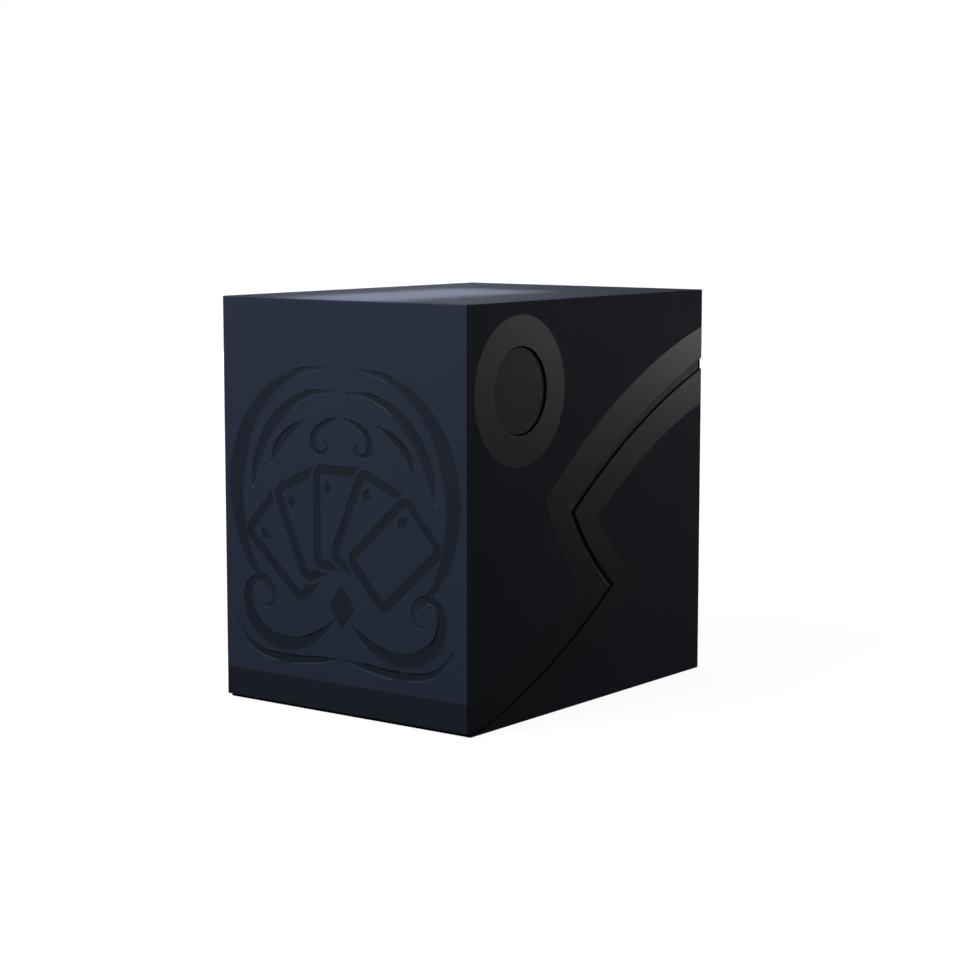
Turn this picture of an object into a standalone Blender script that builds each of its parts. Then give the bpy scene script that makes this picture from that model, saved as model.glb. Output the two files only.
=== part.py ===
"""Two-tone plastic deck box for trading cards, with a flip-back lid.

Metres, +Z up. The origin is the middle of the footprint, the front is -Y and the lid's hinge is
along the back. Side outlines are written as (depth from the front, height) and then shifted.
"""
import math

import bmesh
import bpy
import numpy as np
from mathutils import Matrix, Vector

# Outside size, walls and running gaps
WIDTH = 0.0775
DEPTH = 0.104
HEIGHT = 0.103
WALL = 0.0010
GAP = 0.0003
EDGE_ROUND = 0.00025

# Lid hinge: a thin web moulded across the back, in the slot between the two shells
HINGE_HEIGHT = 0.0833
WEB_THICKNESS = 0.0004
WEB_WIDTH = 0.0765

# The seam between lid and base, seen from the side. Its middle stretch is an arc round the hinge,
# so that the lid's tooth swings past the base's.
BASE_ARC = 0.0688
LID_ARC = 0.0700
BASE_LIP = 0.0006
LID_LIP = 0.0009
BASE_LOWER_START = (0.0052, BASE_LIP)
BASE_LOWER_MIDDLE = (0.0297, 0.0100)
BASE_NOTCH_HEIGHT = 0.0288
BASE_TIP_HEIGHT = 0.0496
BASE_UPPER_MIDDLE = (0.0720, 0.0680)
BASE_BACK_HEIGHT = 0.0820
LID_LOWER_START = (0.0039, LID_LIP)
LID_LOWER_MIDDLE = (0.0294, 0.0105)
LID_TOOTH_HEIGHT = 0.0286
LID_CORNER_HEIGHT = 0.0503
LID_UPPER_MIDDLE = (0.0718, 0.0701)
LID_BACK_HEIGHT = 0.0846
ARC_STEPS = 20

# Round windows in the lid's cheeks and the release pads behind them
WINDOW = (0.0212, 0.0814)
WINDOW_RADIUS = 0.01085
PAD_RADIUS = 0.0116
BOSS_RADIUS = 0.0103
BOSS_HEIGHT = 0.0002
SLOT = 0.0006
TONGUE_WIDTH = 0.0130
TONGUE_ROOT = 0.0560

# Inner tray
TRAY_SIDE_TOP = 0.0980
TRAY_FRONT_TOP = 0.0880
TRAY_FRONT_RAMP = 0.0100
TRAY_SCOOP_RADIUS = 0.0150
TRAY_SCOOP_CENTRE = 0.0900

# Divider
DIVIDER_THICKNESS = 0.0012
DIVIDER_TOP = 0.0950
DIVIDER_SHOULDER = 0.0500
DIVIDER_FULL_HALF = WIDTH / 2 - 2 * WALL - 2 * GAP
DIVIDER_HEAD_HALF = 0.0342
DIVIDER_SCOOP_RADIUS = 0.0110

FAR = 0.010
BLUE = (0.016, 0.021, 0.036)
BLACK = (0.013, 0.013, 0.014)


def clear_scene():
    for old in list(bpy.data.objects):
        bpy.data.objects.remove(old, do_unlink=True)


def plastic(name, colour, roughness):
    material = bpy.data.materials.new(name)
    material.use_nodes = True
    shader = material.node_tree.nodes["Principled BSDF"]
    shader.inputs["Base Color"].default_value = (*colour, 1.0)
    shader.inputs["Roughness"].default_value = roughness
    shader.inputs["Metallic"].default_value = 0.0
    return material


def arc_through(start, middle, end, steps=ARC_STEPS):
    """Points of the circular arc through three points, both ends included."""
    (x1, y1), (x2, y2), (x3, y3) = start, middle, end
    rows = np.array([[x2 - x1, y2 - y1], [x3 - x1, y3 - y1]])
    sums = np.array([x2**2 - x1**2 + y2**2 - y1**2, x3**2 - x1**2 + y3**2 - y1**2]) / 2
    cx, cy = np.linalg.solve(rows, sums)
    radius = math.hypot(x1 - cx, y1 - cy)
    first = math.atan2(y1 - cy, x1 - cx)
    last = math.atan2(y3 - cy, x3 - cx)
    turn = (last - first + math.pi) % (2 * math.pi) - math.pi
    angles = [first + turn * i / steps for i in range(steps + 1)]
    return [(cx + radius * math.cos(a), cy + radius * math.sin(a)) for a in angles]


def hinge_arc(radius, low, high, steps=ARC_STEPS // 2):
    """The arc of this radius round the hinge, from one height to the other, on the hinge's front side."""
    first = math.asin((low - HINGE_HEIGHT) / radius)
    last = math.asin((high - HINGE_HEIGHT) / radius)
    angles = [first + (last - first) * i / steps for i in range(steps + 1)]
    return [(DEPTH - radius * math.cos(a), HINGE_HEIGHT + radius * math.sin(a)) for a in angles]


def seam(lower_start, lower_middle, arc_radius, low, high, upper_middle, back_height):
    """The seam's three stretches from the front lip to the back edge."""
    middle = hinge_arc(arc_radius, low, high)
    lower = arc_through(lower_start, lower_middle, middle[0])
    upper = arc_through(middle[-1], upper_middle, (DEPTH, back_height))
    return lower[:-1] + middle + upper[1:]


def base_seam():
    return seam(BASE_LOWER_START, BASE_LOWER_MIDDLE, BASE_ARC, BASE_NOTCH_HEIGHT, BASE_TIP_HEIGHT,
                BASE_UPPER_MIDDLE, BASE_BACK_HEIGHT)


def lid_seam():
    return seam(LID_LOWER_START, LID_LOWER_MIDDLE, LID_ARC, LID_TOOTH_HEIGHT, LID_CORNER_HEIGHT,
                LID_UPPER_MIDDLE, LID_BACK_HEIGHT)


def new_object(name, mesh_builder, material=None):
    mesh = bpy.data.meshes.new(name)
    bm = bmesh.new()
    mesh_builder(bm)
    bmesh.ops.recalc_face_normals(bm, faces=bm.faces)
    bm.to_mesh(mesh)
    bm.free()
    made = bpy.data.objects.new(name, mesh)
    bpy.context.scene.collection.objects.link(made)
    if material:
        made.data.materials.append(material)
    return made


def add_prism(bm, outline, low, high, axis):
    """Extrude an outline along X or Y. Outline points are (depth, height) for X, (x, height) for Y."""
    if axis == "X":
        verts = [bm.verts.new((low, d - DEPTH / 2, h)) for d, h in outline]
        way = Vector((high - low, 0, 0))
    else:
        verts = [bm.verts.new((x, low, h)) for x, h in outline]
        way = Vector((0, high - low, 0))
    face = bm.faces.new(verts)
    grown = bmesh.ops.extrude_face_region(bm, geom=[face])
    moved = [part for part in grown["geom"] if isinstance(part, bmesh.types.BMVert)]
    bmesh.ops.translate(bm, verts=moved, vec=way)


def prism(name, outline, low, high, axis="X", material=None):
    return new_object(name, lambda bm: add_prism(bm, outline, low, high, axis), material)


def box(name, low, high, material=None):
    """A box between two corners, given as (x, depth, height)."""
    outline = [(low[1], low[2]), (high[1], low[2]), (high[1], high[2]), (low[1], high[2])]
    return prism(name, outline, low[0], high[0], "X", material)


def circle(centre, radius, steps=48):
    angles = [2 * math.pi * i / steps for i in range(steps)]
    return [(centre[0] + radius * math.cos(a), centre[1] + radius * math.sin(a)) for a in angles]


def as_cutter(cutter):
    cutter.hide_render = True
    cutter.display_type = "WIRE"
    return cutter


def combine(target, other, operation):
    modifier = target.modifiers.new(operation.title(), "BOOLEAN")
    modifier.operation = operation
    modifier.solver = "EXACT"
    modifier.object = as_cutter(other)


def edge_bevel(target, width, segments, angle=50.0):
    modifier = target.modifiers.new("Rounded edges", "BEVEL")
    modifier.width = width
    modifier.segments = segments
    modifier.limit_method = "ANGLE"
    modifier.angle_limit = math.radians(angle)


def build_lid(blue):
    half = WIDTH / 2
    outline = [(0.0, LID_LIP)] + lid_seam() + [(DEPTH, HEIGHT), (0.0, HEIGHT)]
    lid = prism("lid_shell", outline, -half, half, "X", blue)
    edge_bevel(lid, EDGE_ROUND, 2)
    hollow = box("lid_hollow", (-half + WALL, WALL, -FAR), (half - WALL, DEPTH - WALL, HEIGHT - WALL))
    combine(lid, hollow, "DIFFERENCE")
    window = prism("window_cutter", circle(WINDOW, WINDOW_RADIUS), -half - FAR, half + FAR)
    combine(lid, window, "DIFFERENCE")


def build_base(blue):
    half = WIDTH / 2
    front = WALL + GAP
    outline = [(front, 0.0), (front, BASE_LIP)] + base_seam() + [(DEPTH, 0.0)]
    base = prism("base_shell", outline, -half, half, "X", blue)
    edge_bevel(base, EDGE_ROUND, 1)
    hollow = box("base_hollow", (-half + WALL, -FAR, WALL), (half - WALL, DEPTH - WALL, HEIGHT))
    combine(base, hollow, "DIFFERENCE")


def build_hinge_web(blue):
    low = (-WEB_WIDTH / 2, DEPTH - WEB_THICKNESS, BASE_BACK_HEIGHT + GAP)
    high = (WEB_WIDTH / 2, DEPTH, LID_BACK_HEIGHT - GAP)
    box("hinge_web", low, high, blue)


def tongue(pad_radius, tongue_width, root):
    """Keyhole outline: a round pad on a straight tongue that runs down to its root."""
    half = tongue_width / 2
    spread = math.asin(half / pad_radius)
    first = -math.pi / 2 + spread
    sweep = 2 * math.pi - 2 * spread
    steps = 40
    angles = [first + sweep * i / steps for i in range(steps + 1)]
    pad = [(WINDOW[0] + pad_radius * math.cos(a), WINDOW[1] + pad_radius * math.sin(a)) for a in angles]
    return pad + [(WINDOW[0] - half, root), (WINDOW[0] + half, root)]


def build_tray(black):
    half = WIDTH / 2 - WALL - GAP
    front = WALL + GAP
    back = DEPTH - WALL - GAP
    floor = WALL + GAP
    ramp_end = front + TRAY_FRONT_RAMP
    outline = [(front, floor), (back, floor), (back, TRAY_SIDE_TOP), (ramp_end, TRAY_SIDE_TOP)]
    outline += [(front + WALL, TRAY_FRONT_TOP), (front, TRAY_FRONT_TOP)]
    tray = prism("inner_tray", outline, -half, half, "X", black)
    edge_bevel(tray, EDGE_ROUND, 1, 30.0)
    low = (-half + WALL, front + WALL, floor + WALL)
    high = (half - WALL, back - WALL, HEIGHT)
    combine(tray, box("tray_hollow", low, high), "DIFFERENCE")
    scoop_outline = circle((0.0, TRAY_SCOOP_CENTRE), TRAY_SCOOP_RADIUS)
    scoop = prism("tray_scoop", scoop_outline, -DEPTH, -DEPTH / 2 + front + WALL + GAP, "Y")
    combine(tray, scoop, "DIFFERENCE")
    slot = tongue(PAD_RADIUS + SLOT, TONGUE_WIDTH + 2 * SLOT, TONGUE_ROOT - GAP)
    combine(tray, prism("tongue_slot", slot, -half - FAR, half + FAR), "DIFFERENCE")


def build_pad(name, side, black):
    """A release pad: the keyhole tongue and the low round boss on it, turned on the tongue's root."""
    outer = WIDTH / 2 - WALL - GAP
    low, high = outer - WALL, outer
    pad = prism(name, tongue(PAD_RADIUS, TONGUE_WIDTH, TONGUE_ROOT), side * low, side * high, "X", black)
    boss_ends = side * (high - WALL / 2), side * (high + BOSS_HEIGHT)
    boss = prism(name + "_boss", circle(WINDOW, BOSS_RADIUS), *boss_ends)
    combine(pad, boss, "UNION")
    root = Vector((side * (low + high) / 2, WINDOW[0] - DEPTH / 2, TONGUE_ROOT))
    for piece in (pad, boss):
        piece.data.transform(Matrix.Translation(-root))
        piece.location = root


def build_divider(black):
    floor = 2 * (WALL + GAP)
    scoop = [(x, DIVIDER_TOP - h) for x, h in half_round(DIVIDER_SCOOP_RADIUS)]
    outline = [(-DIVIDER_FULL_HALF, floor), (DIVIDER_FULL_HALF, floor)]
    outline += [(DIVIDER_FULL_HALF, DIVIDER_SHOULDER), (DIVIDER_HEAD_HALF, DIVIDER_SHOULDER + FAR / 2)]
    outline += [(DIVIDER_HEAD_HALF, DIVIDER_TOP)] + scoop + [(-DIVIDER_HEAD_HALF, DIVIDER_TOP)]
    outline += [(-DIVIDER_HEAD_HALF, DIVIDER_SHOULDER + FAR / 2), (-DIVIDER_FULL_HALF, DIVIDER_SHOULDER)]
    half = DIVIDER_THICKNESS / 2
    prism("divider", outline, -half, half, "Y", black)


def half_round(radius, steps=16):
    angles = [math.pi * i / steps for i in range(steps + 1)]
    return [(radius * math.cos(a), radius * math.sin(a)) for a in angles]


def main():
    clear_scene()
    blue = plastic("blue_shell_plastic", BLUE, 0.5)
    black = plastic("black_tray_plastic", BLACK, 0.45)
    build_base(blue)
    build_lid(blue)
    build_hinge_web(blue)
    build_tray(black)
    build_pad("release_pad_right", 1, black)
    build_pad("release_pad_left", -1, black)
    build_divider(black)


main()
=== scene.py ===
import math

import bpy
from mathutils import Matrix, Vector


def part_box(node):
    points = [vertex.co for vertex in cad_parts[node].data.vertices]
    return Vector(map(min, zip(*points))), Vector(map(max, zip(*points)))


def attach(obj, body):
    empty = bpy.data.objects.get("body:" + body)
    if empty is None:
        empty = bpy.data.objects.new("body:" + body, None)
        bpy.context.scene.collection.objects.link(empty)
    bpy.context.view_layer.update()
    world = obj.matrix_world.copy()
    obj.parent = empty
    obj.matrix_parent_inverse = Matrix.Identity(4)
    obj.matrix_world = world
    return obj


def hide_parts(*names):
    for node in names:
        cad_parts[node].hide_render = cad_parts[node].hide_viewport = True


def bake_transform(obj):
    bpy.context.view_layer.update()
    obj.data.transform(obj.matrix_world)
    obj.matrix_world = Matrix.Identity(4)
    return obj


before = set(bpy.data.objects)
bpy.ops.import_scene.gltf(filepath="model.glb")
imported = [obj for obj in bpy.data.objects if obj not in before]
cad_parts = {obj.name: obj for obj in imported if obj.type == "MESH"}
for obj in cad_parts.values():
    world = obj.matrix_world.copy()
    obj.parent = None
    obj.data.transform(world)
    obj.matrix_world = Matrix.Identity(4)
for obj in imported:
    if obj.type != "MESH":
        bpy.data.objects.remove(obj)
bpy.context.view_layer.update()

mm = 0.001
boxLow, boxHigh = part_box("lid_shell")
halfWidth = boxHigh[0]
frontY = boxLow[1]
backY = boxHigh[1]
topZ = boxHigh[2]
creaseAngle = math.radians(30)
flatAngle = math.radians(0.5)
mergeDistance = 0.000002


# small helpers for working on shapes
def selectOnly(obj):
    if bpy.context.object and bpy.context.object.mode != "OBJECT":
        bpy.ops.object.mode_set(mode="OBJECT")
    bpy.ops.object.select_all(action="DESELECT")
    obj.select_set(True)
    bpy.context.view_layer.objects.active = obj


def applyPlace(obj):
    selectOnly(obj)
    bpy.ops.object.transform_apply(location=True, rotation=True, scale=True)


def boolean(target, tool, how="DIFFERENCE"):
    selectOnly(target)
    mod = target.modifiers.new("cut", "BOOLEAN")
    mod.operation = how
    mod.solver = "EXACT"
    mod.object = tool
    bpy.ops.object.modifier_apply(modifier=mod.name)
    bpy.data.objects.remove(tool, do_unlink=True)


def cleanMesh(obj):
    # merges doubled points and the facets of flat faces
    selectOnly(obj)
    bpy.ops.object.mode_set(mode="EDIT")
    bpy.ops.mesh.select_all(action="SELECT")
    bpy.ops.mesh.remove_doubles(threshold=mergeDistance)
    bpy.ops.mesh.dissolve_limited(angle_limit=flatAngle)
    bpy.ops.object.mode_set(mode="OBJECT")


def softenEdges(obj, width):
    selectOnly(obj)
    mod = obj.modifiers.new("softEdges", "BEVEL")
    mod.width = width
    mod.segments = 2
    mod.limit_method = "ANGLE"
    mod.angle_limit = creaseAngle
    bpy.ops.object.modifier_apply(modifier=mod.name)


def shadeByAngle(obj):
    selectOnly(obj)
    bpy.ops.object.shade_smooth_by_angle(angle=creaseAngle)


def weightNormals(obj):
    # keeps the broad flat faces flat right up to their rounded edges
    selectOnly(obj)
    mod = obj.modifiers.new("normals", "WEIGHTED_NORMAL")
    mod.mode = "FACE_AREA"
    mod.weight = 100
    mod.keep_sharp = True
    bpy.ops.object.modifier_apply(modifier=mod.name)


# node helpers
def addNode(tree, kind, **values):
    node = tree.nodes.new(kind)
    for key, value in values.items():
        setattr(node, key, value)
    return node


def mathNode(tree, how, a, b=None, clamp=False):
    node = addNode(tree, "ShaderNodeMath", operation=how, use_clamp=clamp)
    for i, value in enumerate((a, b)):
        if value is None:
            continue
        if isinstance(value, (int, float)):
            node.inputs[i].default_value = value
        else:
            tree.links.new(value, node.inputs[i])
    return node.outputs[0]


def newGroup(name, inputs, outputs):
    tree = bpy.data.node_groups.new(name, "ShaderNodeTree")
    for label, kind, value in inputs:
        socket = tree.interface.new_socket(label, in_out="INPUT", socket_type=kind)
        if value is not None:
            socket.default_value = value
    for label, kind in outputs:
        tree.interface.new_socket(label, in_out="OUTPUT", socket_type=kind)
    return tree, addNode(tree, "NodeGroupInput"), addNode(tree, "NodeGroupOutput")


# seam between the two shells: points (from the front, up) and sizes, in mm
seamShape = {
    "upperCentre": (151.7, -79.8), "upperArc": 169.6, "upperBand": 9.9,
    "hinge": (104.0, 83.3), "toothArc": 69.7, "toothBand": 8.3,
    "lowerCentre": (-51.9, 183.7), "lowerArc": 191.4, "lowerBand": 8.2,
    "lip": 0.9, "lipBand": 7.3,
    "window": (21.2, 81.4), "ringRadius": 18.5,
}
windowY = frontY + seamShape["window"][0] * mm
windowZ = seamShape["window"][1] * mm

# how deep under the outer faces the polish reaches, and where the front counts as engraved, in mm;
# bandEdge alone is a share of the band's width
polishLimits = {
    "skin": 0.4, "bandEdge": 0.015, "ringEdge": 0.12, "depthStart": 0.005, "depthRamp": 0.03,
    "frontSkin": 0.6, "sideMargin": 0.8, "bottomMargin": 9, "topMargin": 2,
}


def distanceTo(tree, y, z, centre):
    dy = mathNode(tree, "SUBTRACT", y, centre[0] * mm + frontY)
    dz = mathNode(tree, "SUBTRACT", z, centre[1] * mm)
    squares = [mathNode(tree, "MULTIPLY", side, side) for side in (dy, dz)]
    return mathNode(tree, "SQRT", mathNode(tree, "ADD", *squares))


def softStep(tree, limit, value, edge):
    # 1 below the limit, 0 above it, with a short ramp between
    return mathNode(tree, "DIVIDE", mathNode(tree, "SUBTRACT", limit, value), edge, clamp=True)


def stretch(tree, value, middle, width):
    # 0 at the middle and 1 at one width from it
    return mathNode(tree, "DIVIDE", mathNode(tree, "SUBTRACT", value, middle * mm), width * mm)


def polishGroup():
    # 1 on the polished bands beside the seam, on the rings and in the engraving, 0 on the matte field
    masks = [("Bands", "NodeSocketFloat"), ("Engraving", "NodeSocketFloat")]
    tree, _, out = newGroup("polishedAreas", [], masks)
    coords = addNode(tree, "ShaderNodeTexCoord")
    parts = addNode(tree, "ShaderNodeSeparateXYZ")
    tree.links.new(coords.outputs["Object"], parts.inputs[0])
    x, y, z = parts.outputs
    # each stretch of the seam is 0 on its own arc and 1 at the outer edge of its band
    s = seamShape
    limit = polishLimits
    upper = stretch(tree, distanceTo(tree, y, z, s["upperCentre"]), s["upperArc"], s["upperBand"])
    tooth = stretch(tree, distanceTo(tree, y, z, s["hinge"]), s["toothArc"], s["toothBand"])
    lower = stretch(tree, distanceTo(tree, y, z, s["lowerCentre"]), s["lowerArc"], -s["lowerBand"])
    lip = stretch(tree, z, s["lip"], s["lipBand"])
    lower = mathNode(tree, "MINIMUM", lower, lip)
    whole = mathNode(tree, "MINIMUM", mathNode(tree, "MAXIMUM", upper, tooth), lower)
    away = mathNode(tree, "ABSOLUTE", whole)
    inBand = softStep(tree, 1.0, away, limit["bandEdge"])
    fromWindow = distanceTo(tree, y, z, s["window"])
    ring = softStep(tree, s["ringRadius"] * mm, fromWindow, limit["ringEdge"] * mm)
    both = mathNode(tree, "MAXIMUM", inBand, ring)
    ax = mathNode(tree, "ABSOLUTE", x)
    skin = limit["skin"] * mm
    outerX = mathNode(tree, "GREATER_THAN", ax, halfWidth - skin)
    outerFront = mathNode(tree, "LESS_THAN", y, frontY + skin)
    outerBack = mathNode(tree, "GREATER_THAN", y, backY - skin)
    outside = mathNode(tree, "MAXIMUM", outerX, mathNode(tree, "MAXIMUM", outerFront, outerBack))
    tree.links.new(mathNode(tree, "MULTIPLY", both, outside), out.inputs["Bands"])
    depth = mathNode(tree, "SUBTRACT", y, frontY + limit["depthStart"] * mm)
    deep = mathNode(tree, "DIVIDE", depth, limit["depthRamp"] * mm, clamp=True)
    near = mathNode(tree, "LESS_THAN", y, frontY + limit["frontSkin"] * mm)
    inside = mathNode(tree, "LESS_THAN", ax, halfWidth - limit["sideMargin"] * mm)
    high = mathNode(tree, "GREATER_THAN", z, limit["bottomMargin"] * mm)
    low = mathNode(tree, "LESS_THAN", z, topZ - limit["topMargin"] * mm)
    mask = deep
    for part in (near, inside, high, low):
        mask = mathNode(tree, "MULTIPLY", mask, part)
    tree.links.new(mask, out.inputs["Engraving"])
    return tree


grainSet = {
    "fineDetail": 3.0, "fineRough": 0.6, "level": 0.72, "pitShare": 0.5,
    "slowScale": 28.0, "slowDetail": 2.0,
}


def grainGroup():
    # fine spark-eroded mould texture: height for a bump and a slow tone change
    tree, start, out = newGroup("mouldTexture", [("Grain Size", "NodeSocketFloat", 0.3 * mm)],
                                [("Height", "NodeSocketFloat"), ("Tone", "NodeSocketFloat")])
    coords = addNode(tree, "ShaderNodeTexCoord")
    scale = mathNode(tree, "DIVIDE", 1.0, start.outputs["Grain Size"])
    fine = addNode(tree, "ShaderNodeTexNoise")
    fine.inputs["Detail"].default_value = grainSet["fineDetail"]
    fine.inputs["Roughness"].default_value = grainSet["fineRough"]
    tree.links.new(coords.outputs["Object"], fine.inputs["Vector"])
    tree.links.new(scale, fine.inputs["Scale"])
    pits = addNode(tree, "ShaderNodeTexVoronoi")
    tree.links.new(coords.outputs["Object"], pits.inputs["Vector"])
    tree.links.new(scale, pits.inputs["Scale"])
    pitDepth = mathNode(tree, "MULTIPLY", pits.outputs["Distance"], grainSet["pitShare"])
    fineHeight = mathNode(tree, "SUBTRACT", fine.outputs["Fac"], grainSet["level"])
    height = mathNode(tree, "ADD", fineHeight, pitDepth)
    slow = addNode(tree, "ShaderNodeTexNoise")
    slow.inputs["Scale"].default_value = grainSet["slowScale"]
    slow.inputs["Detail"].default_value = grainSet["slowDetail"]
    tree.links.new(coords.outputs["Object"], slow.inputs["Vector"])
    tree.links.new(height, out.inputs["Height"])
    tree.links.new(slow.outputs["Fac"], out.inputs["Tone"])
    return tree


wearSet = {
    "turn": (0.4, 0.3, 0.6), "hairScale": (30, 900, 60), "hairDetail": 4.0, "hairLevel": 0.62,
    "hairContrast": 6.0, "hairShare": 0.35, "smudgeScale": 60.0, "smudgeDetail": 5.0, "smudgeLevel": 0.5,
}


def wearGroup():
    # faint handling marks: a few hair scratches and smudges that change the gloss
    tree, start, out = newGroup("handlingMarks", [("Amount", "NodeSocketFloat", 1.0)],
                                [("Marks", "NodeSocketFloat")])
    coords = addNode(tree, "ShaderNodeTexCoord")
    drawnOut = addNode(tree, "ShaderNodeMapping")
    drawnOut.inputs["Rotation"].default_value = wearSet["turn"]
    drawnOut.inputs["Scale"].default_value = wearSet["hairScale"]
    tree.links.new(coords.outputs["Object"], drawnOut.inputs["Vector"])
    hair = addNode(tree, "ShaderNodeTexNoise")
    hair.inputs["Scale"].default_value = 1.0
    hair.inputs["Detail"].default_value = wearSet["hairDetail"]
    tree.links.new(drawnOut.outputs[0], hair.inputs["Vector"])
    above = mathNode(tree, "SUBTRACT", hair.outputs["Fac"], wearSet["hairLevel"])
    line = mathNode(tree, "MULTIPLY", above, wearSet["hairContrast"], clamp=True)
    smudge = addNode(tree, "ShaderNodeTexNoise")
    smudge.inputs["Scale"].default_value = wearSet["smudgeScale"]
    smudge.inputs["Detail"].default_value = wearSet["smudgeDetail"]
    tree.links.new(coords.outputs["Object"], smudge.inputs["Vector"])
    blot = mathNode(tree, "SUBTRACT", smudge.outputs["Fac"], wearSet["smudgeLevel"])
    total = mathNode(tree, "ADD", mathNode(tree, "MULTIPLY", line, wearSet["hairShare"]), blot)
    tree.links.new(mathNode(tree, "MULTIPLY", total, start.outputs["Amount"]), out.inputs["Marks"])
    return tree


groups = {"polish": polishGroup(), "grain": grainGroup(), "wear": wearGroup()}


def useGroup(tree, name):
    node = addNode(tree, "ShaderNodeGroup")
    node.node_tree = groups[name]
    return node


def mixColour(tree, factor, a, b):
    node = addNode(tree, "ShaderNodeMix", data_type="RGBA")
    for socket, value in ((node.inputs[0], factor), (node.inputs[6], a), (node.inputs[7], b)):
        if isinstance(value, (tuple, list)):
            socket.default_value = (*value, 1.0) if len(value) == 3 else value
        elif isinstance(value, (int, float)):
            socket.default_value = value
        else:
            tree.links.new(value, socket)
    return node.outputs[2]


def mixValue(tree, factor, a, b):
    # a where factor is 0, b where it is 1
    step = mathNode(tree, "MULTIPLY", factor, b - a)
    return mathNode(tree, "ADD", step, a)


blueLook = {
    "field": (0.0230, 0.0335, 0.0640), "fieldDark": (0.0205, 0.0300, 0.0575),
    "band": (0.0165, 0.0208, 0.0320), "engraved": (0.0125, 0.0180, 0.0335),
    "fieldRough": 0.68, "bandRough": 0.34, "coat": 0.9, "coatRough": 0.30, "engravedRough": 0.60,
    "grainSize": 0.28 * mm, "grainDepth": 0.035 * mm, "specular": 0.26, "marks": 0.10,
    "bumpDrop": 0.9,
}


def bluePlastic():
    mat = bpy.data.materials.new("bluePlastic")
    mat.use_nodes = True
    tree = mat.node_tree
    shader = tree.nodes["Principled BSDF"]
    look = blueLook
    polish, grain, wear = useGroup(tree, "polish"), useGroup(tree, "grain"), useGroup(tree, "wear")
    grain.inputs["Grain Size"].default_value = look["grainSize"]
    field = mixColour(tree, grain.outputs["Tone"], look["fieldDark"], look["field"])
    withBand = mixColour(tree, polish.outputs["Bands"], field, look["band"])
    colour = mixColour(tree, polish.outputs["Engraving"], withBand, look["engraved"])
    tree.links.new(colour, shader.inputs["Base Color"])
    rough = mixValue(tree, polish.outputs["Bands"], look["fieldRough"], look["bandRough"])
    dropSize = look["fieldRough"] - look["engravedRough"]
    drop = mathNode(tree, "MULTIPLY", polish.outputs["Engraving"], dropSize)
    rough = mathNode(tree, "SUBTRACT", rough, drop)
    marks = mathNode(tree, "MULTIPLY", wear.outputs["Marks"], look["marks"])
    rough = mathNode(tree, "ADD", rough, marks, clamp=True)
    tree.links.new(rough, shader.inputs["Roughness"])
    smooth = mathNode(tree, "MAXIMUM", polish.outputs["Bands"], polish.outputs["Engraving"])
    share = mathNode(tree, "SUBTRACT", 1.0, mathNode(tree, "MULTIPLY", smooth, look["bumpDrop"]))
    bump = addNode(tree, "ShaderNodeBump")
    bump.inputs["Distance"].default_value = look["grainDepth"]
    tree.links.new(mathNode(tree, "MULTIPLY", grain.outputs["Height"], share), bump.inputs["Height"])
    tree.links.new(bump.outputs[0], shader.inputs["Normal"])
    shader.inputs["Specular IOR Level"].default_value = look["specular"]
    coat = mathNode(tree, "MULTIPLY", polish.outputs["Bands"], look["coat"])
    tree.links.new(coat, shader.inputs["Coat Weight"])
    shader.inputs["Coat Roughness"].default_value = look["coatRough"]
    return mat


blackLooks = {
    "trayBlack": {
        "colour": (0.0260, 0.0258, 0.0255), "lighter": (0.0300, 0.0297, 0.0293), "rough": 0.38,
        "grainSize": 0.35 * mm, "grainDepth": 0.02 * mm, "specular": 0.4, "marks": 0.12,
    },
    "padBlack": {
        "colour": (0.0175, 0.0172, 0.0170), "lighter": (0.0200, 0.0197, 0.0193), "rough": 0.50,
        "grainSize": 0.30 * mm, "grainDepth": 0.02 * mm, "specular": 0.4, "marks": 0.12,
    },
}


def blackPlastic(name):
    look = blackLooks[name]
    mat = bpy.data.materials.new(name)
    mat.use_nodes = True
    tree = mat.node_tree
    shader = tree.nodes["Principled BSDF"]
    grain, wear = useGroup(tree, "grain"), useGroup(tree, "wear")
    grain.inputs["Grain Size"].default_value = look["grainSize"]
    tone = mixColour(tree, grain.outputs["Tone"], look["colour"], look["lighter"])
    tree.links.new(tone, shader.inputs["Base Color"])
    marks = mathNode(tree, "MULTIPLY", wear.outputs["Marks"], look["marks"])
    rough = mathNode(tree, "ADD", marks, look["rough"], clamp=True)
    tree.links.new(rough, shader.inputs["Roughness"])
    bump = addNode(tree, "ShaderNodeBump")
    bump.inputs["Distance"].default_value = look["grainDepth"]
    tree.links.new(grain.outputs["Height"], bump.inputs["Height"])
    tree.links.new(bump.outputs[0], shader.inputs["Normal"])
    shader.inputs["Specular IOR Level"].default_value = look["specular"]
    return mat


blue = bluePlastic()
trayBlack = blackPlastic("trayBlack")
padBlack = blackPlastic("padBlack")
print("materials made")


def setMaterial(obj, mat):
    obj.data.materials.clear()
    obj.data.materials.append(mat)


# camera
cameraSet = {"place": (0.3626, -0.4773, 0.1296), "azimuth": 36.97, "down": 7.20, "lens": 86.33}


def makeCamera():
    bpy.ops.object.camera_add(location=cameraSet["place"])
    cam = bpy.context.object
    cam.rotation_euler = (math.radians(90 - cameraSet["down"]), 0, math.radians(cameraSet["azimuth"]))
    cam.data.lens = cameraSet["lens"]
    cam.data.sensor_width = 36
    cam.data.clip_start = 0.01
    cam.data.dof.use_dof = False
    bpy.context.scene.camera = cam


makeCamera()


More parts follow.
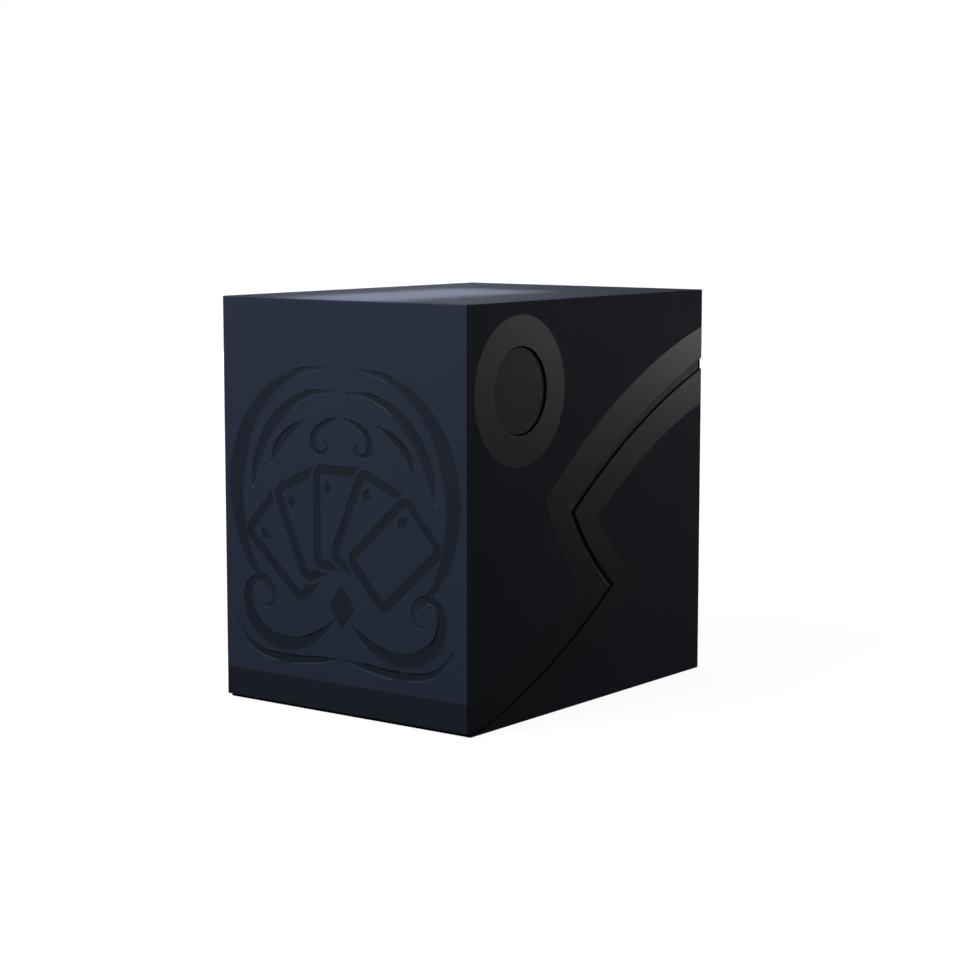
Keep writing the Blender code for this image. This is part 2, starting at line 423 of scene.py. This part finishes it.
# ornament pressed into the lid's front: a fan of cards in scrollwork, in mm and degrees but for the depth
ornament = {
    "depth": 0.075 * mm, "pivot": (0.0, 27.0), "reach": 22.5, "cards": 5, "spread": 24.0,
    "cardSize": (18.0, 26.0), "corner": 3.2, "line": 2.3, "space": 1.0, "weight": 1.3,
    "pipSize": 1.9, "pipInset": (2.3, 3.4), "middlePip": (0, 27.5), "middlePipSize": 5.6, "slim": 0.72,
}


def mirrored(points):
    return [(-u, v, w) for u, v, w in points]


# half of the scrollwork: points (across, up, half width) in mm from the middle of the front
def outerSweep():
    return [(5, 86.5, 0.25), (16, 84, 0.9), (27, 76, 1.6), (33.5, 63, 2.0), (34, 48, 1.7), (29, 35, 1.0),
            (21, 27, 0.25)]


def innerSweep():
    return [(2, 80.5, 0.2), (11, 79.5, 0.8), (20.5, 73.5, 1.3), (27, 64, 1.2), (29.2, 55, 0.25)]


def lowerScroll():
    return [(1.5, 24.5, 0.25), (8, 19.5, 1.0), (17, 16.5, 1.5), (26, 18.5, 1.6), (31, 25, 1.3),
            (29, 31.5, 0.9), (23.5, 31, 0.7), (22.8, 26.2, 0.5), (26, 25, 0.25)]


def lowerLeaf():
    return [(0.8, 14.3, 0.2), (8, 13.4, 0.8), (18, 12.6, 1.0), (29, 14.5, 0.7), (34.5, 20, 0.2)]


def topCurl():
    return [(1.0, 74.2, 0.25), (5.2, 72.6, 0.7), (8.8, 69.2, 0.8), (8.0, 65.6, 0.6),
            (4.7, 66.2, 0.45), (5.4, 68.6, 0.2)]


def topLeaf():
    return [(11.5, 73.0, 0.2), (16, 70.5, 0.9), (20.3, 66.5, 1.1), (23.0, 61.5, 0.2)]


def makeStroke(name, points):
    # a tapering line with a flat oval section, lying half in the front face
    bpy.ops.object.select_all(action="DESELECT")
    bpy.ops.curve.primitive_bezier_curve_add()
    obj = bpy.context.object
    obj.name = name
    curve = obj.data
    spline = curve.splines[0]
    spline.bezier_points.add(len(points) - len(spline.bezier_points))
    for point, (u, v, w) in zip(spline.bezier_points, points):
        point.co = (u * mm, 0, v * mm)
        point.handle_left_type = point.handle_right_type = "AUTO"
        point.radius = w * ornament["weight"]
    curve.dimensions = "3D"
    curve.resolution_u = 10
    curve.bevel_depth = 1 * mm
    curve.bevel_resolution = 3
    curve.use_fill_caps = True
    obj.location = (0, frontY, 0)
    selectOnly(obj)
    bpy.ops.object.convert(target="MESH")
    return flattenStroke(bpy.context.object)


def flattenStroke(obj):
    # every tube is pressed to the same shallow depth
    applyPlace(obj)
    reach = max(abs(v.co.y - frontY) for v in obj.data.vertices)
    obj.scale.y = ornament["depth"] / reach
    obj.location.y = frontY * (1 - obj.scale.y)
    applyPlace(obj)
    return obj


def cardPlate(name, index, grow, ring):
    # one card of the fan: a full plate, or only its outline
    o = ornament
    angle = math.radians(-(index - (o["cards"] - 1) / 2) * o["spread"])
    wide, tall = (size + 2 * grow for size in o["cardSize"])
    bpy.ops.object.select_all(action="DESELECT")
    bpy.ops.mesh.primitive_plane_add(size=1)
    obj = bpy.context.object
    obj.name = name
    obj.scale = (wide * mm, tall * mm, 1)
    applyPlace(obj)
    bpy.ops.object.mode_set(mode="EDIT")
    bpy.ops.mesh.select_all(action="SELECT")
    bpy.ops.mesh.bevel(affect="VERTICES", offset=(o["corner"] + grow) * mm, segments=5)
    if ring:
        bpy.ops.mesh.select_all(action="SELECT")
        bpy.ops.mesh.inset(thickness=o["line"] * mm)
        bpy.ops.mesh.delete(type="FACE")
    bpy.ops.mesh.select_all(action="SELECT")
    bpy.ops.mesh.extrude_region_move(TRANSFORM_OT_translate={"value": (0, 0, 2 * o["depth"])})
    bpy.ops.mesh.select_all(action="SELECT")
    bpy.ops.mesh.normals_make_consistent(inside=False)
    bpy.ops.object.mode_set(mode="OBJECT")
    centreU = o["pivot"][0] - math.sin(angle) * o["reach"]
    centreV = o["pivot"][1] + math.cos(angle) * o["reach"]
    obj.rotation_euler = (math.pi / 2, -angle, 0)
    obj.location = (centreU * mm, frontY + o["depth"], centreV * mm)
    applyPlace(obj)
    return obj


def diamond(name, centre, size, angle):
    bpy.ops.object.select_all(action="DESELECT")
    bpy.ops.mesh.primitive_cylinder_add(vertices=4, radius=size * mm, depth=2 * ornament["depth"])
    obj = bpy.context.object
    obj.name = name
    obj.scale = (ornament["slim"], 1, 1)
    applyPlace(obj)
    obj.rotation_euler = (math.pi / 2, -angle, 0)
    obj.location = (centre[0] * mm, frontY, centre[1] * mm)
    applyPlace(obj)
    return obj


def pip(name, index):
    # a diamond near a card's top left corner
    o = ornament
    angle = math.radians(-(index - (o["cards"] - 1) / 2) * o["spread"])
    across = -o["cardSize"][0] / 2 + o["line"] + o["pipInset"][0]
    up = o["reach"] + o["cardSize"][1] / 2 - o["line"] - o["pipInset"][1]
    centreU = o["pivot"][0] + math.cos(angle) * across - math.sin(angle) * up
    centreV = o["pivot"][1] + math.sin(angle) * across + math.cos(angle) * up
    return diamond(name, (centreU, centreV), o["pipSize"], angle)


def makeOrnament():
    tools = []
    for label, shape in (("outer", outerSweep), ("inner", innerSweep), ("scroll", lowerScroll),
                         ("leaf", lowerLeaf), ("curl", topCurl), ("topLeaf", topLeaf)):
        tools.append(makeStroke(label + "Right", shape()))
        tools.append(makeStroke(label + "Left", mirrored(shape())))
    count = ornament["cards"]
    for i in range(count):
        ring = cardPlate(f"cardLine{i}", i, 0.0, True)
        for j in range(i + 1, count):
            cover = cardPlate("cover", j, ornament["space"], False)
            boolean(ring, cover)
        tools.append(ring)
        tools.append(pip(f"pip{i}", i))
    tools.append(diamond("middlePip", ornament["middlePip"], ornament["middlePipSize"], 0))
    print("ornament tools made:", len(tools))
    return tools


# how far each moulding's edges are rounded
edges = {"lid_shell": 0.07 * mm, "base_shell": 0.07 * mm, "inner_tray": 0.18 * mm, "divider": 0.25 * mm}


def copyOfNode(node, name):
    # the CAD node's shape with its loose triangles merged, ready to be worked on
    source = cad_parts[node]
    selectOnly(source)
    bpy.ops.object.duplicate()
    made = bpy.context.object
    made.name = name
    made.parent = None
    for key in list(made.keys()):
        del made[key]
    cleanMesh(made)
    return made


def makeLid():
    lid = copyOfNode("lid_shell", "lidShell")
    softenEdges(lid, edges["lid_shell"])
    for tool in makeOrnament():
        boolean(lid, tool)
    setMaterial(lid, blue)
    shadeByAngle(lid)
    # the front face is shaded flat, so that the many cuts leave no streaks on it
    for face in lid.data.polygons:
        if face.normal.y < -0.9999:
            face.use_smooth = False
    weightNormals(lid)
    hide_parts("lid_shell")
    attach(lid, "lid")
    print("lid made:", len(lid.data.polygons), "faces")


# the finger discs that snap into the lid's windows, a hair below the lid's surface
pressPad = {"recess": 0.40 * mm, "radius": 10.5 * mm, "root": 1.8 * mm, "edge": 0.12 * mm}


def makePressPad(side, sign):
    p = pressPad
    node = f"release_pad_{side}"
    pad = copyOfNode(node, f"pressPad{side.capitalize()}")
    outer, inner = halfWidth - p["recess"], halfWidth - p["root"]
    centre = (sign * (outer + inner) / 2, windowY, windowZ)
    bpy.ops.object.select_all(action="DESELECT")
    bpy.ops.mesh.primitive_cylinder_add(vertices=128, radius=p["radius"], depth=outer - inner,
                                        location=centre, rotation=(0, math.pi / 2, 0))
    disc = bpy.context.object
    applyPlace(disc)
    softenEdges(disc, p["edge"])
    boolean(pad, disc, "UNION")
    setMaterial(pad, padBlack)
    shadeByAngle(pad)
    weightNormals(pad)
    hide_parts(node)
    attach(pad, f"pad_{side}")
    print("press pad made:", side)


makePressPad("right", 1)
makePressPad("left", -1)


# a low rib on each side of the tray that fills the seam between the shells to just below their faces
seamRib = {
    "recess": 0.45 * mm, "wall": 0.95 * mm, "reach": 0.88 * mm, "clear": 0.12 * mm,
    "front": 1.6 * mm, "back": 1.3 * mm, "bottom": 1.4 * mm, "top": 86 * mm, "hole": 11.4 * mm,
}


def addSeamRib(tray, sign):
    r = seamRib
    outer, inner = halfWidth - r["recess"], halfWidth - r["wall"]
    front, back = frontY + r["front"], backY - r["back"]
    low, high = r["bottom"], r["top"]
    bpy.ops.object.select_all(action="DESELECT")
    bpy.ops.mesh.primitive_cube_add(size=1)
    rib = bpy.context.object
    rib.scale = (outer - inner, back - front, high - low)
    rib.location = (sign * (outer + inner) / 2, (front + back) / 2, (low + high) / 2)
    applyPlace(rib)
    # what the shells cover is cut away, and then a hole round the window
    for node, shift in (("lid_shell", r["clear"]), ("base_shell", 0.0)):
        shell = copyOfNode(node, "shellCutter")
        shell.location = (shell.location.x, shell.location.y + shift, shell.location.z - shift)
        applyPlace(shell)
        boolean(rib, shell)
    sideways = (0, math.pi / 2, 0)
    bpy.ops.object.select_all(action="DESELECT")
    bpy.ops.mesh.primitive_cylinder_add(vertices=64, radius=r["hole"], depth=10 * mm, rotation=sideways)
    hole = bpy.context.object
    hole.location = (sign * outer, windowY, windowZ)
    applyPlace(hole)
    boolean(rib, hole)
    # stretched inwards until it stands on the tray's wall
    grow = r["reach"] / (outer - inner)
    rib.scale.x = grow
    rib.location.x = sign * outer * (1 - grow)
    applyPlace(rib)
    boolean(tray, rib, "UNION")


def makeMoulding(node, name, mat, body):
    obj = copyOfNode(node, name)
    if node == "inner_tray":
        addSeamRib(obj, 1)
        addSeamRib(obj, -1)
    softenEdges(obj, edges[node])
    setMaterial(obj, mat)
    shadeByAngle(obj)
    weightNormals(obj)
    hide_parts(node)
    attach(obj, body)
    print("moulding made:", name, len(obj.data.polygons), "faces")


# the tray comes first, while the shells that shape its ribs are still as they came
makeMoulding("inner_tray", "innerTray", trayBlack, "base")
makeMoulding("base_shell", "baseShell", blue, "base")
makeMoulding("divider", "dividerPlate", trayBlack, "divider")
makeLid()


# the thin web that lets the lid swing, in the slot across the back
hingeWeb = {"thick": 0.34 * mm, "tall": 3.2 * mm, "inset": 0.24 * mm, "margin": 0.1 * mm}


def makeHinge():
    h = hingeWeb
    low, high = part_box("hinge_web")
    bpy.ops.object.select_all(action="DESELECT")
    bpy.ops.mesh.primitive_cube_add(size=1)
    web = bpy.context.object
    web.name = "livingHinge"
    web.scale = (high[0] - low[0] - h["margin"], h["thick"], h["tall"])
    web.location = (0, backY - h["inset"], (low[2] + high[2]) / 2)
    applyPlace(web)
    bpy.ops.object.mode_set(mode="EDIT")
    bpy.ops.mesh.select_all(action="SELECT")
    bpy.ops.mesh.subdivide(number_cuts=1)
    bpy.ops.object.mode_set(mode="OBJECT")
    setMaterial(web, blue)
    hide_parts("hinge_web")
    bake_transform(web)


makeHinge()


# floor and light
floorSet = {"base": 0.14, "glow": 0.95, "whiteFrom": 0.12, "ramp": 0.35, "size": 80, "level": -0.0002}


def makeStage():
    f = floorSet
    bpy.ops.object.select_all(action="DESELECT")
    bpy.ops.mesh.primitive_plane_add(size=f["size"], location=(0, 0, f["level"]))
    floor = bpy.context.object
    floor.name = "floor"
    mat = bpy.data.materials.new("paleFloor")
    mat.use_nodes = True
    shader = mat.node_tree.nodes["Principled BSDF"]
    shader.inputs["Base Color"].default_value = (f["base"], f["base"], f["base"], 1)
    shader.inputs["Roughness"].default_value = 1.0
    shader.inputs["Specular IOR Level"].default_value = 0.0
    # a touch darker round the box, so that its shadow shows, and white from there on
    tree = mat.node_tree
    coords = addNode(tree, "ShaderNodeTexCoord")
    away = addNode(tree, "ShaderNodeVectorMath", operation="LENGTH")
    tree.links.new(coords.outputs["Object"], away.inputs[0])
    past = mathNode(tree, "SUBTRACT", away.outputs["Value"], f["whiteFrom"])
    far = mathNode(tree, "DIVIDE", past, f["ramp"], clamp=True)
    tone = mixColour(tree, far, (f["glow"], f["glow"], f["glow"]), (1.0, 1.0, 1.0))
    tree.links.new(tone, shader.inputs["Emission Color"])
    shader.inputs["Emission Strength"].default_value = 1.0
    setMaterial(floor, mat)
    floor.visible_glossy = False
    floor.visible_diffuse = False


def areaLight(name, place, target, wide, high, power):
    bpy.ops.object.light_add(type="AREA", location=place)
    light = bpy.context.object
    light.name = name
    light.data.energy = power
    light.data.shape = "RECTANGLE"
    light.data.size = wide
    light.data.size_y = high
    light.visible_camera = False
    light.rotation_euler = (Vector(target) - Vector(place)).to_track_quat("-Z", "Y").to_euler()


worldSet = {"ambient": 0.02, "seen": 1.0}


def makeWorld():
    world = bpy.data.worlds.new("studio")
    bpy.context.scene.world = world
    world.use_nodes = True
    tree = world.node_tree
    back = tree.nodes["Background"]
    path = addNode(tree, "ShaderNodeLightPath")
    strength = mixValue(tree, path.outputs["Is Camera Ray"], worldSet["ambient"], worldSet["seen"])
    back.inputs["Color"].default_value = (1, 1, 1, 1)
    tree.links.new(strength, back.inputs["Strength"])


makeStage()
makeWorld()

# place, target, width, height and power of each light, in metres and watts
lights = {
    "keyLight": ((-0.18, -0.42, 0.48), (0, 0, 0.07), 0.35, 0.35, 3.25),
    "floorLight": ((-0.6, 0.0, 2.2), (0, 0, 0), 1.5, 1.5, 12.0),
    "rimLight": ((0.40, 0.90, 0.22), (0.04, 0.03, 0.08), 0.20, 0.34, 1.06),
    "sideLight": ((0.85, -0.45, 0.40), (0.04, 0, 0.05), 0.45, 0.45, 0.16),
    "backLight": ((-1.90, 2.33, 0.30), (0, 0, 0.10), 0.35, 0.9, 6.5),
    "rearLight": ((-0.90, 0.90, 0.052), (0, 0, 0.05), 0.60, 0.08, 5.0),
    "topStripe": ((-0.003, -0.018, 0.36), (-0.003, -0.018, 0.10), 0.031, 0.070, 0.025),
}
for lightName, values in lights.items():
    areaLight(lightName, *values)

# the stripe is a narrow warm beam along the middle of the top
stripe = bpy.data.objects["topStripe"].data
stripe.color = (1, 0.91, 0.78)
stripe.spread = math.radians(5)
print("lights made:", len(lights))

bpy.context.scene.view_settings.view_transform = "Standard"
